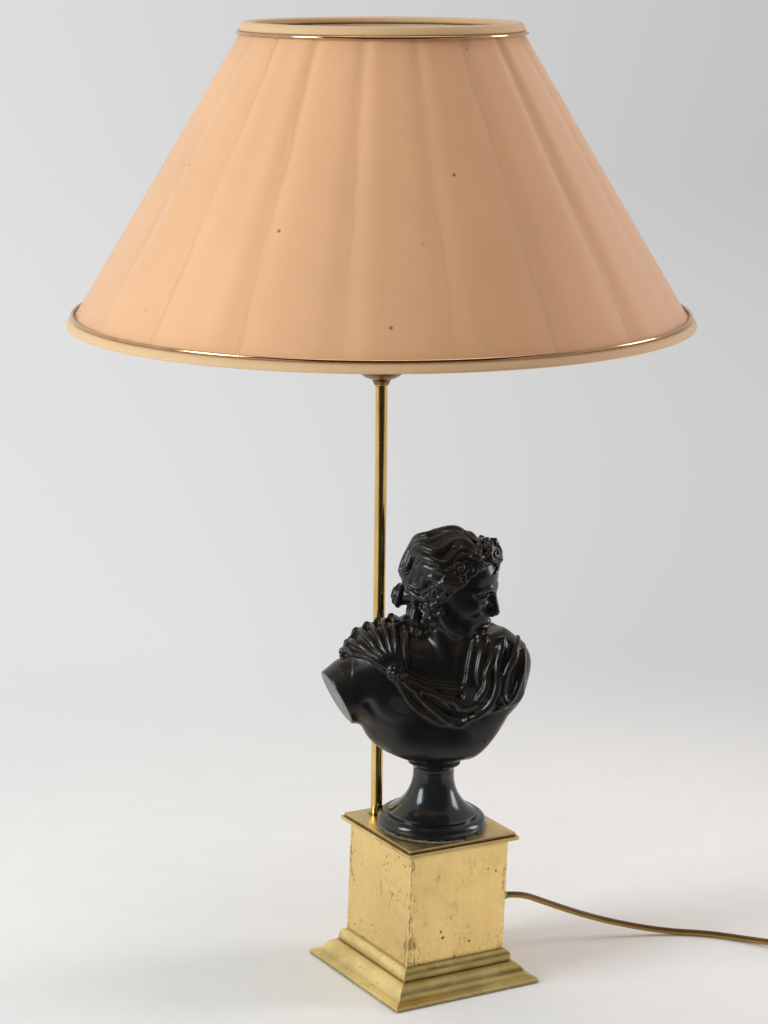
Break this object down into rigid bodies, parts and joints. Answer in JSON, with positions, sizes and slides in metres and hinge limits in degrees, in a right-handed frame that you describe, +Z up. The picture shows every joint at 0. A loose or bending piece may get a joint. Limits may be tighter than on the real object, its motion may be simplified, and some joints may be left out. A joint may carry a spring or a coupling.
{
  "type": "figural table lamp",
  "caption": "Table lamp: brass box plinth, turned black socle with a draped classical bust, leaning brass stem and a fluted cone shade.",
  "frame": {"origin": "middle of the underside of the plinth's baize pad, on the surface the lamp stands on", "axes": "+Z up; +X to the right along the plinth's front face; +Y to the back. The bust faces between -X and -Y."},
  "size_m": [0.6095, 0.5039, 0.7006],
  "materials": {
    "brass": "aged satin brass with fine pits",
    "bright_brass": "polished brass, a little worn",
    "steel": "zinc plated",
    "iron": "rough cast",
    "baize": "green baize",
    "black_socle": "black gloss lacquer",
    "patinated_bronze": "dark brown to black patina, satin",
    "brown_moulding": "brown moulded lampholder plastic",
    "porcelain": "glazed porcelain",
    "bulb_metal": "thin rolled metal",
    "opal_glass": "opal",
    "shade_silk": "apricot silk over a stiff backing",
    "lining_cloth": "pale lining cloth",
    "shade_wire": "cream painted wire",
    "binding_silk": "cream apricot bias binding",
    "gilt_piping": "thin gilt piping",
    "gold_cord": "gold pigmented PVC flex",
    "gold_plastic": "gold moulded plastic",
    "rocker_plastic": "gold moulded plastic"
  },
  "bodies": {
    "base": {"baize_pad": "baize", "ballast_block": "iron", "base_moulding_back": "brass", "base_moulding_front": "brass", "base_moulding_left": "brass", "base_moulding_right": "brass", "base_plate": "steel", "bush_nut": "bright_brass", "bust_figure": "patinated_bronze", "cap_moulding_back": "brass", "cap_moulding_front": "brass", "cap_moulding_left": "brass", "cap_moulding_right": "brass", "cap_plate": "brass", "cord_bush": "gold_plastic", "cord_coil": "gold_cord", "cord_lead": "gold_cord", "cord_link": "gold_cord", "holder_cap": "bright_brass", "holder_contact": "steel", "holder_insert": "porcelain", "holder_skirt": "brown_moulding", "holder_sleeve": "steel", "inner_flex": "gold_cord", "panel_back": "brass", "panel_front": "brass", "panel_left": "brass", "panel_right": "brass", "plug_body": "gold_plastic", "plug_pins": "steel", "socle": "black_socle", "stem_cup": "bright_brass", "stem_nut": "bright_brass", "stem_tube": "bright_brass", "stem_washer": "bright_brass", "switch_lower": "gold_plastic", "switch_upper": "gold_plastic", "tie_nut": "steel", "tie_rod": "steel", "tie_washer": "steel"},
    "lower_ring": {"lower_shade_ring": "brown_moulding"},
    "shade": {"shade_cover": "shade_silk", "shade_lining": "lining_cloth", "shade_ring_bottom": "shade_wire", "shade_ring_top": "shade_wire", "shade_struts": "shade_wire", "shade_spider": "shade_wire", "binding_bottom": "binding_silk", "binding_top": "binding_silk", "piping_bottom": "gilt_piping", "piping_top": "gilt_piping"},
    "clamp_ring": {"clamp_ring": "brown_moulding"},
    "bulb": {"bulb_cap": "bulb_metal", "bulb_button": "bulb_metal", "bulb_glass": "opal_glass"},
    "rocker": {"switch_rocker": "rocker_plastic"}
  },
  "joints": [
    {"name": "shade_turn", "type": "hinge", "parent": "base", "child": "lower_ring", "pos_m": [-0.03436, 0.03915, 0.48247], "axis": [-0.0311, 0.0194, 0.9993], "continuous": true},
    {"name": "shade_lift", "type": "slide", "parent": "lower_ring", "child": "shade", "axis": [-0.0311, 0.0194, 0.9993], "range_m": [0, 0.15]},
    {"name": "clamp_ring_turn", "type": "hinge", "parent": "shade", "child": "clamp_ring", "pos_m": [-0.03454, 0.03926, 0.48847], "axis": [-0.0311, 0.0194, 0.9993], "continuous": true},
    {"name": "bulb_out", "type": "slide", "parent": "base", "child": "bulb", "axis": [-0.0311, 0.0194, 0.9993], "range_m": [0, 0.06]},
    {"name": "switch_rocker_tilt", "type": "hinge", "parent": "base", "child": "rocker", "pos_m": [0.30317, -0.12395, 0.01255], "axis": [0.6868, 0.7268, 0], "range_deg": [0, 14]}
  ]
}
